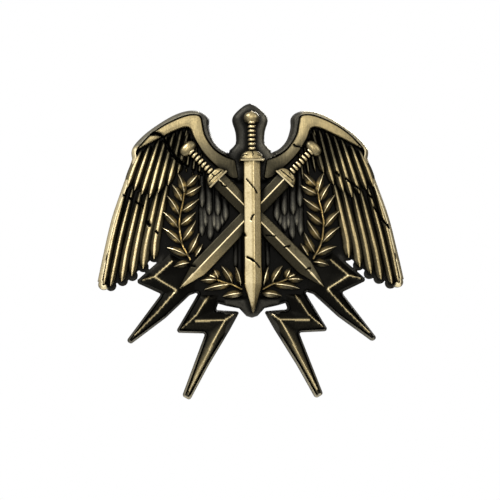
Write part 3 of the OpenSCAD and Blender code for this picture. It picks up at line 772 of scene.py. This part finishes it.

# ---------------------------------------------------------------- laurel
# One side of each leaf is painted lighter than the other: a painted highlight on its upper facet and
# painted shade on its lower one.
LEAF_PROFILE = [
    (-1, 0, 0), (-1, 0.5, 0.5), (-0.94, 0.6, 0.78), (-0.5, 0.76, 0.78), (-0.18, 0.92, 0.84),
    (-0.1, 0.99, 1), (0.08, 1, 1), (0.15, 0.92, 0.6), (0.5, 0.74, 0.52), (0.9, 0.58, 0.54),
    (0.95, 0.54, 0.7), (1, 0.44, 0.4), (1, 0, 0),
]
STEM_PROFILE = [
    (-1, 0, 0), (-1, 0.6, 0.3), (-0.6, 0.9, 0.85), (0, 1, 1), (0.6, 0.9, 0.85), (1, 0.6, 0.3),
    (1, 0, 0)
]
BRANCH_STEM = [(12.2, -0.7), (12.5, -2.3), (13, -4.6), (13.2, -6.6), (12.7, -10), (11.2, -12.9)]
BRANCH_LEAVES = [
    ((12.2, -0.9), (13.4, 2.9)), ((12, 0.4), (9.55, 3)), ((12.6, -2.4), (14.5, 0.9)),
    ((12.2, -1.05), (9.1, 0.7)), ((13.2, -4.7), (15.4, -1.15)), ((13, -4.1), (9.6, -1.75)),
    ((13.3, -7.2), (16.3, -4)), ((13.2, -6.6), (10.2, -4.15)), ((12.8, -10), (16.2, -7)),
    ((12.8, -9.5), (10.2, -5.7)), ((11.7, -12.2), (15.5, -10.6)), ((11.6, -11.8), (9.7, -8.05)),
    ((10.4, -12.3), (9, -10)), ((11.3, -13.4), (14.2, -14.1)),
]
SPRIG_STEM = [(1.9, -18.3), (3.6, -17.45), (4.9, -17.1), (6.4, -16.5)]
SPRIG_LEAVES = [
    ((2.1, -17.7), (3, -14.25)), ((3.6, -17.2), (5.65, -14)), ((6.2, -16.4), (7.15, -14.5)),
    ((6.3, -16.4), (8.2, -15.6)), ((6.3, -16.6), (9.4, -16.65)), ((3.7, -17.4), (8.7, -18.3)),
    ((1.7, -19), (5.4, -19.6)),
]


LEAF_WIDTH = 1.5


def leaf(shell, base, tip):
    line = bent(base, tip, 0.04, 15)
    s = np.linspace(0, 1, 15)
    half = LEAF_WIDTH / 2 * np.clip(np.sin(math.pi * (0.06 + 0.92 * s) ** 0.85), 0.05, 1) ** 0.75
    up = np.interp(s, [0, 0.3, 0.7, 1], [2.2, LEAF_H, LEAF_H - 0.05, 2.1])
    # The section is turned so that its painted highlight lies on the leaf's upper facet.
    lower = -1 if tip[0] > base[0] else 1
    profile = [(lower * u, v, r) for u, v, r in LEAF_PROFILE[::lower]]
    loft(shell, line, half, up, profile, shine=np.interp(s, [0, 0.2, 1], [0.6, 1, 1]))


def greenery(name, stem, leaves, node, flip):
    shell = Shell()
    line = spline(stem, 0.25)
    loft(shell, line, 0.23, 2.7, STEM_PROFILE)
    for base, tip in leaves:
        leaf(shell, base, tip)
    make_piece(name, shell, LEAF, [node], mirror=flip)


for name, flip in SIDES:
    greenery(name + "_laurel", BRANCH_STEM, BRANCH_LEAVES, name + "_laurel_branch", flip)
    greenery(name + "_sprig", SPRIG_STEM, SPRIG_LEAVES, name + "_lower_sprig", flip)

# ---------------------------------------------------------------- swords
BLADE_HALF = [
    (1, 0, 0), (1, 0.62, 0.3), (0.96, 0.74, 0.85), (0.9, 0.79, 0.93), (0.5, 0.885, 0.95),
    (0.1, 0.98, 1), (0.05, 1, 1), (0, 1, 1),
]
BLADE_PROFILE = finer(mirrored(BLADE_HALF), 0.09)
ROUND_PROFILE = [(-1, 0, 0)] + [
    (-math.cos(a), 0.35 + 0.65 * math.sin(a), 0.4 + 0.6 * math.sin(a) ** 0.7)
    for a in np.linspace(0, math.pi, 13)
] + [(1, 0, 0)]
DOME_PROFILE = finer(mirrored([(1, 0, 0), (1, 0.5, 0.3), (0.96, 0.72, 0.6), (0.84, 0.88, 0.85),
                               (0.6, 0.97, 1), (0, 1, 1)]), 0.05)


GRIP_PROFILE = mirrored([(1, 0, 0), (1, 0.5, 0.4), (0.93, 0.78, 0.85), (0.75, 0.92, 1),
                         (0.4, 0.98, 1), (0, 1, 1)])
POMMEL_PROFILE = mirrored([(1, 0, 0.3), (1, 0.6, 0.55), (0.96, 0.76, 0.66), (0.86, 0.86, 0.7),
                           (0.7, 0.92, 0.76), (0.4, 0.98, 0.95), (0.2, 1, 1), (0, 1, 1)])


class Local:
    """Turns distances across and up a sword into flat points."""

    def __init__(self, x, z, lean):
        self.origin = np.array([x, z])
        self.up = np.array([math.sin(lean), math.cos(lean)])
        self.across = np.array([math.cos(lean), -math.sin(lean)])

    def line(self, ups):
        ups = np.asarray(ups, float)
        return self.origin + ups[:, None] * self.up


def turned(shell, place, rows, profile=ROUND_PROFILE):
    """A bar along the sword whose half width, height and rub_and_light change: rows of all four."""
    ups, half, high, shine = np.array(rows, float).T
    loft(shell, place.line(ups), half, high, profile, shine=shine)


BLADE_LEN = 27.8
BLADE_HALF_W = 1.56


def sword(name, x, z, lean, high, node, painted_facet_light=(1.0, 1.0), painted_tip_light=None, peak=0.0, skew=0.0,
          pommel=1.58):
    """painted_facet_light is the rub_and_light of the blade's two sides, a painted light and shade that
    makes one side lighter than the other, and painted_tip_light is that of the first side at the point.
    skew moves the blade's ridge to one side. pommel is half the pommel's width, and peak is how
    far the small knob above it rises, with no knob at 0."""
    shell = Shell()
    place = Local(x, z, lean)
    ups = np.arange(-BLADE_LEN, -0.09, 0.15)
    half = np.interp(ups, [-BLADE_LEN, -27.3, -22.8, -21.5, 0],
                     [0.05, 0.25, BLADE_HALF_W, 1.6, BLADE_HALF_W])
    up = np.interp(ups, [-BLADE_LEN, -27, -22.5, 0],
                   [high - 1.5, high - 0.9, high - 0.2, high - 0.2])
    profile = [(u + skew * (1 - abs(u)), v, r) for u, v, r in BLADE_PROFILE]
    loft(shell, place.line(ups), half, up, profile)
    # The blade's two sides are painted with light and shade: one side lighter than the other, and the
    # first side changing towards the point, as if lit from one side.
    flat = np.array(shell.verts)[:, [0, 2]] - place.origin
    across = flat @ place.across
    toward_point = np.clip((-8 - flat @ place.up) / 14, 0, 1)
    first = painted_facet_light[0] + ((painted_tip_light or painted_facet_light[0]) - painted_facet_light[0]) * toward_point
    ridge = BLADE_HALF_W * skew
    side = np.where(across > ridge, first, painted_facet_light[1])
    shell.rub_and_light = list(np.array(shell.rub_and_light) * np.where(np.abs(across - ridge) > 0.12, side, 1))
    turned(shell, place, [(-0.2, 2.2, high - 0.25, 0.5), (-0.16, 2.3, high - 0.1, 1),
                          (0.1, 2.33, high - 0.02, 1), (0.18, 2.25, high - 0.12, 0.7)],
           [(-1, 0, 0), (-1, 0.7, 0.4), (-0.96, 0.93, 0.9), (-0.9, 1, 1), (0, 1, 1), (0.9, 1, 1),
            (0.96, 0.93, 0.9), (1, 0.7, 0.4), (1, 0, 0)])
    rows = []
    for t in np.linspace(0, 1, 22):
        w = 0.72 + 1.48 * math.sqrt(max(0.0, 1 - t ** 1.7))
        rows.append((0.22 + 1.5 * t, w, high - 0.62 + 0.4 * math.sqrt(max(0.0, 1 - t ** 2.5)),
                     0.71 - 0.15 * t ** 3))
    turned(shell, place, rows, DOME_PROFILE)
    rows = []
    for t in np.linspace(1.6, 7.2, 113):
        ring = min(1.0, max(0.0, 1.5 * abs(math.sin(math.pi * (t - 1.72) / 0.8)) - 0.35))
        rows.append((t, 0.52 + 0.2 * ring ** 0.5, high - 0.62 + 0.34 * ring ** 0.5,
                     0.05 + 0.88 * ring))
    turned(shell, place, rows, GRIP_PROFILE)
    rows = []
    for t in np.linspace(-0.98, 0.98, 17):
        w = math.sqrt(1 - t * t)
        rows.append((7.85 + 1.1 * t, 0.1 + pommel * w ** 0.7, high - 1.1 + 0.9 * w, 0.5 + 0.2 * w))
    turned(shell, place, rows, POMMEL_PROFILE)
    if peak:
        rows = []
        for t in np.linspace(-0.95, 0.97, 9):
            w = math.sqrt(1 - t * t)
            rows.append((8.75 + 0.36 * t, 0.06 + 0.4 * w, high - 1.3 + peak * w, 0.3 + 0.6 * w))
        turned(shell, place, rows)
    make_piece(name, shell, SWORD, [node])


LEAN = math.radians(44.2)
# The numbers after each sword's node paint its blade's sides lighter and darker, a painted light and
# shade.
sword("left_sword", -6.07, 1.8, -LEAN, CROSSED_H, "left_crossed_sword", painted_facet_light=(0.36, 0.22))
sword("right_sword", 6.07, 1.8, LEAN, CROSSED_H - 0.04, "right_crossed_sword", painted_facet_light=(0.3, 0.16),
      painted_tip_light=0.74)
sword("middle_sword", 0.1, 5.15, 0, UPRIGHT_H, "upright_sword", painted_facet_light=(0.83, 1.05), peak=0.6,
      skew=-0.16, pommel=1.32)


# ---------------------------------------------------------------- back fittings
SIDE_PEGS = [
    (16.2, 10.9), (9.7, 10.8), (24.95, -7.25), (19, -8.8), (18.3, 4.5), (13.1, -5.8), (4.3, -17.3),
    (17.3, -22.3), (7.9, -28.9), (8.72, 4.53), (6.06, -8.8)
]
MIDDLE_PEGS = [(0, 9.5), (0, -13)]
COVER_Y = 2.85
COVER_TOP = 5.75
WINDOW_TOP = 4.45
WINDOW_HALF = 1.75
SLOT_R = 0.66
SLOT_LEN = 0.8
LOWER_SHEET_Y = 3.5
UPPER_SHEET_Y = 4.0
SHEET_HALF_T = 0.15


def spot(shell, x, z):
    """The end of a peg, filed nearly flush with the back of the plate."""
    lathe(shell, x, [(0.44, -1.1, 0.2), (0.44, 0.0, 0.1), (0.4, 0.03, 0.5), (0.25, 0.05, 0.62),
                     (0.1, 0.06, 0.62)], 20, z)


def wear_and_light(piece, plain, worn, dark):
    """Sets rub_and_light from the shape: worn on outer corners, dark in inner ones and plain elsewhere."""
    bm = bmesh.new()
    bm.from_mesh(piece.data)
    values = []
    for v in bm.verts:
        bends = [e.calc_face_angle_signed(0) for e in v.link_edges]
        values.append(worn if max(bends) > 0.4 else dark if min(bends) < -0.4 else plain)
    bm.free()
    value = piece.data.attributes.get("rub_and_light") or piece.data.attributes.new("rub_and_light", "FLOAT", "POINT")
    value.data.foreach_set("value", values)


def carve(piece, shell):
    """Cuts a closed shape out of a piece."""
    cutter = in_scene("cutter", outward_mesh("cutter", shell.verts, shell.faces))
    cut = piece.modifiers.new("cut", "BOOLEAN")
    cut.object = cutter
    cut.operation = "DIFFERENCE"
    cut.solver = "EXACT"
    bpy.context.view_layer.update()
    whole = piece.evaluated_get(bpy.context.evaluated_depsgraph_get())
    piece.data = bpy.data.meshes.new_from_object(whole)
    piece.modifiers.clear()
    bpy.data.objects.remove(cutter)
    piece.data.set_sharp_from_angle(angle=math.radians(30))


def post(name, x):
    shell = Shell()
    lathe(shell, x, [
        (0.6, -1.0, 0.2), (1.6, -0.3, 0.2), (1.6, 0.02, 0.35), (1.5, 0.06, 0.6), (1.0, 0.07, 0.55),
        (0.74, 0.11, 0.45), (0.64, 0.18, 0.6), (0.6, 0.28, 0.72), (0.6, 7.24, 0.8),
        (0.57, 7.3, 0.85), (0.44, 7.35, 0.4), (0.42, 7.42, 0.3), (0.42, 7.78, 0.3),
        (0.44, 7.85, 0.4), (0.57, 7.9, 0.85), (0.6, 7.96, 0.8), (0.6, 8.9, 0.8), (0.57, 9.02, 0.9),
        (0.34, 9.28, 0.85), (0.2, 9.42, 0.9), (0.1, 9.5, 0.9),
    ])
    make_piece(name + "_pin", shell, FITTING, [name + "_post"])


def clutch_disc(name, x):
    shell = Shell()
    lathe(shell, x, [
        (0.7, 2.42, 0.6), (0.66, 2.5, 0.4), (0.66, 3.28, 0.5), (0.7, 3.35, 0.85), (1.2, 3.35, 0.8),
        (1.3, 3.27, 0.85), (1.3, 2.95, 0.3), (1.38, 2.85, 0.3), (3.7, 2.85, 0.5),
        (4.3, 2.85, 0.72), (4.5, 2.83, 0.6), (4.65, 2.76, 0.45), (4.95, 2.75, 0.5),
        (5.1, 2.84, 0.8), (5.25, 2.95, 0.9), (5.45, 3.0, 0.9), (5.66, 2.91, 0.9),
        (5.75, 2.7, 0.9), (5.66, 2.49, 0.85), (5.45, 2.4, 0.85), (5.1, 2.41, 0.6),
        (4.9, 2.46, 0.45), (3.1, 2.46, 0.6), (2.8, 2.4, 0.75), (1.2, 2.4, 0.75), (1.0, 2.44, 0.6),
    ], spokes=72, hollow=True)
    # Small raised grips that keep the disc from turning on the cloth
    for k in range(8):
        a = 2 * math.pi * (k + 0.5) / 8
        lathe(shell, x + 4 * math.cos(a), [(0.34, 2.6, 0.5), (0.34, 2.46, 0.5), (0.26, 2.4, 0.7),
                                           (0.12, 2.36, 0.8)], 16, 4 * math.sin(a))
    make_piece(name + "_clutch_disc", shell, FITTING, [name + "_clutch_base"],
               body=name + "_clutch")


def clutch_cap(name, x):
    shell = Shell()
    lathe(shell, x, [
        (3.0, COVER_Y, 0.3), (3.3, COVER_Y, 0.5), (3.3, 3.2, 0.7), (3.3, 5.2, 0.75),
        (3.26, 5.43, 0.85), (3.14, 5.62, 0.85), (2.95, 5.73, 0.85), (2.75, COVER_TOP, 0.8),
        (2.45, COVER_TOP, 0.8), (2.3, 5.7, 0.6), (2.15, 5.66, 0.5), (1.75, 5.66, 0.55),
        (1.6, 5.7, 0.7), (1.45, COVER_TOP, 0.85), (0.98, COVER_TOP, 0.85), (0.9, 5.7, 0.85),
        (0.9, 5.5, 0.5), (0.96, 5.45, 0.3), (2.7, 5.45, 0.2), (2.92, 5.36, 0.2), (3.0, 5.15, 0.2),
    ], spokes=72, hollow=True)
    cap = make_piece(name + "_clutch_cap", shell, FITTING, [name + "_clutch_cover"],
                     body=name + "_clutch")
    window = Shell()
    corners = [(-WINDOW_HALF, 1.0), (WINDOW_HALF, 1.0), (WINDOW_HALF, WINDOW_TOP - 0.25),
               (WINDOW_HALF - 0.07, WINDOW_TOP - 0.07), (WINDOW_HALF - 0.25, WINDOW_TOP),
               (0.25 - WINDOW_HALF, WINDOW_TOP), (0.07 - WINDOW_HALF, WINDOW_TOP - 0.07),
               (-WINDOW_HALF, WINDOW_TOP - 0.25)]
    skin(window, [np.array([(x + u, y, z) for u, y in corners]) for z in (-5, 5)],
         [0] * 2 * len(corners))
    carve(cap, window)
    wear_and_light(cap, 0.72, 0.9, 0.3)


def clutch_wing(name, x, which, sheet_y):
    """A bent sheet with a slot for the post and a ribbed ear to squeeze."""
    flip = 1 if which == "upper" else -1
    mid = sheet_y + SHEET_HALF_T
    path = spline([(-1.9, mid), (-1, mid), (1, mid), (3.6, mid), (4.15, mid + 0.06),
                   (4.45, mid + 0.38), (4.62, mid + 0.86), (5.1, mid + 1.95), (5.4, mid + 2.65),
                   (5.55, mid + 3)], 0.12)
    run = np.gradient(path, axis=0)
    run /= np.linalg.norm(run, axis=1)[:, None]
    rise = path[:, 1] - mid
    ribs = sum(0.06 * np.exp(-((rise - at) / 0.11) ** 2) for at in (1.25, 1.65, 2.05))
    half = np.interp(path[:, 0], [-1.9, -1.8, -1.5], [1.3, 1.5, 1.6])
    half += np.interp(rise, [0, 0.6, 1.6, 2.1, 2.6, 2.85, 3], [0, 0.05, 0.32, 0.4, 0.2, -0.2, -0.6])
    thick = SHEET_HALF_T * np.interp(np.minimum(rise + 10 * (rise < 0.01), 10), [0, 2.9, 3, 10],
                                     [1, 1, 0.5, 1])
    rings, rub_and_light = [], []
    for p, t, w, d, rib in zip(path, run, half, thick, ribs):
        edge = [(w - 0.15, d), (w - 0.05, 0.7 * d), (w, 0), (w - 0.05, -0.7 * d), (w - 0.15, -d)]
        middle = [(k * (w - 0.15) / 3, -d) for k in (2, 1, 0, -1, -2)]
        section = edge + middle
        section += [(-u, v) for u, v in reversed(edge)] + [(-u, -v) for u, v in middle]
        normal = np.array([-t[1], t[0]])
        rings.append(np.array([
            (x + u, p[1] + normal[1] * (v - rib), flip * (p[0] + normal[0] * (v - rib)))
            for u, v in section
        ]))
        rub_and_light += [0.7 + 2.5 * rib + (0.15 if abs(u) > w - 0.1 else 0) for u, _ in section]
    shell = Shell()
    skin(shell, rings, rub_and_light)
    wing = make_piece(f"{name}_{which}_squeeze_wing", shell, SPRING,
                      [f"{name}_clutch_{which}_wing"], body=f"{name}_{which}_wing")
    angle = np.linspace(0, 2 * math.pi, 33)[:-1]
    slot = Shell()
    skin(slot, [
        np.array([(x + SLOT_R * math.cos(a), y,
                   flip * (SLOT_R * math.sin(a) + (SLOT_LEN if math.sin(a) > 0 else 0)))
                  for a in angle])
        for y in (mid - 1, mid + 1)
    ], [0] * 64)
    carve(wing, slot)
    wear_and_light(wing, 0.74, 0.9, 0.4)


shell = Shell()
for x, z in SIDE_PEGS:
    spot(shell, x, z)
    spot(shell, -x, z)
for x, z in MIDDLE_PEGS:
    spot(shell, x, z)
make_piece("peg_ends", shell, FITTING, ["locating_pegs"])
for name, x in (("left", -POST_X), ("right", POST_X)):
    post(name, x)
    clutch_disc(name, x)
    clutch_cap(name, x)
    clutch_wing(name, x, "upper", UPPER_SHEET_Y)
    clutch_wing(name, x, "lower", LOWER_SHEET_Y)

# ---------------------------------------------------------------- camera, light and floor
def aim(thing, x, y, z):
    direction = Vector((x, y, z)) * MM - thing.location
    thing.rotation_euler = direction.to_track_quat("-Z", "Y").to_euler()


def lamp(name, place, target, size, power):
    light = bpy.data.lights.new(name, "AREA")
    light.shape = "DISK"
    light.size = size * MM
    light.energy = power
    thing = in_scene(name, light)
    thing.location = Vector(place) * MM
    aim(thing, *target)


ROOM_LIGHT = (-0.5, -0.6, 0.62)
ROOM_DIM = 0.12
ROOM_BRIGHT = 1.0
lamp("key_light", (-190, -170, 210), (0, 0, -10), 110, 0.6)
lamp("front_light", (-60, -420, 90), (0, 0, -10), 200, 0.25)
lamp("side_light", (240, -200, 120), (0, 0, -10), 160, 0.15)
lamp("back_light", (120, 260, 160), (0, 0, -10), 200, 1.0)

camera = in_scene("camera", bpy.data.cameras.new("camera"))
camera.data.lens = 100
CAMERA_AWAY = 254.5
AZIMUTH = math.radians(-4)
ELEVATION = math.radians(-3)
ROLL = math.radians(-0.6)
LOOK_AT = (-0.28, -1.2, -11.1)
toward_camera = Vector((math.sin(AZIMUTH) * math.cos(ELEVATION),
                        -math.cos(AZIMUTH) * math.cos(ELEVATION), math.sin(ELEVATION)))
camera.location = (Vector(LOOK_AT) + CAMERA_AWAY * toward_camera) * MM
aim(camera, *LOOK_AT)
camera.rotation_euler.rotate_axis("Z", ROLL)
camera.data.clip_start = 0.01
camera.data.clip_end = 10
bpy.context.scene.camera = camera

world = bpy.data.worlds.new("studio")
bpy.context.scene.world = world
world.use_nodes = True
tree = world.node_tree
tree.nodes.clear()


def world_node(kind, **links):
    node = tree.nodes.new(kind)
    for key, value in links.items():
        socket = node.inputs[int(key[1:])]
        if isinstance(value, bpy.types.NodeSocket):
            tree.links.new(value, socket)
        else:
            socket.default_value = value
    return node


# The room round the badge is brightest to the upper left in front of it, and the camera itself
# sees plain white.
toward = world_node("ShaderNodeVectorMath", i0=world_node("ShaderNodeTexCoord").outputs["Generated"],
                    i1=ROOM_LIGHT)
toward.operation = "DOT_PRODUCT"
glow = world_node("ShaderNodeMapRange", i0=toward.outputs["Value"], i1=-0.6, i2=1.0, i3=ROOM_DIM,
                  i4=ROOM_BRIGHT)
room = world_node("ShaderNodeBackground", i0=(1, 0.985, 0.96, 1), i1=glow.outputs[0])
white = world_node("ShaderNodeBackground", i0=(1, 1, 1, 1))
path = world_node("ShaderNodeLightPath")
mix = world_node("ShaderNodeMixShader", i0=path.outputs["Is Camera Ray"], i1=room.outputs[0],
                 i2=white.outputs[0])
world_node("ShaderNodeOutputWorld", i0=mix.outputs[0])
bpy.context.scene.view_settings.view_transform = "Standard"

FLOOR_Z = -0.075        # metres, below the longest bolt
FLOOR_RADIUS = 0.09
floor_mesh = bpy.data.meshes.new("floor")
bm = bmesh.new()
bmesh.ops.create_circle(bm, cap_ends=True, segments=96, radius=FLOOR_RADIUS)
bm.to_mesh(floor_mesh)
bm.free()
floor = in_scene("floor", floor_mesh)
floor.location = (0, 0, FLOOR_Z)
pale = Nodes("pale_floor")
mottle = pale.noise(pale.add("ShaderNodeTexCoord").outputs["Object"], 60.0)
pale.put(pale.shader.inputs["Base Color"],
         pale.ramp(mottle, [(0.3, (0.78, 0.78, 0.77)), (0.7, (0.83, 0.83, 0.82))]))
pale.put(pale.shader.inputs["Roughness"], pale.math("ADD", pale.math("MULTIPLY", mottle, 0.2), 0.6))
floor_mesh.materials.append(pale.material)
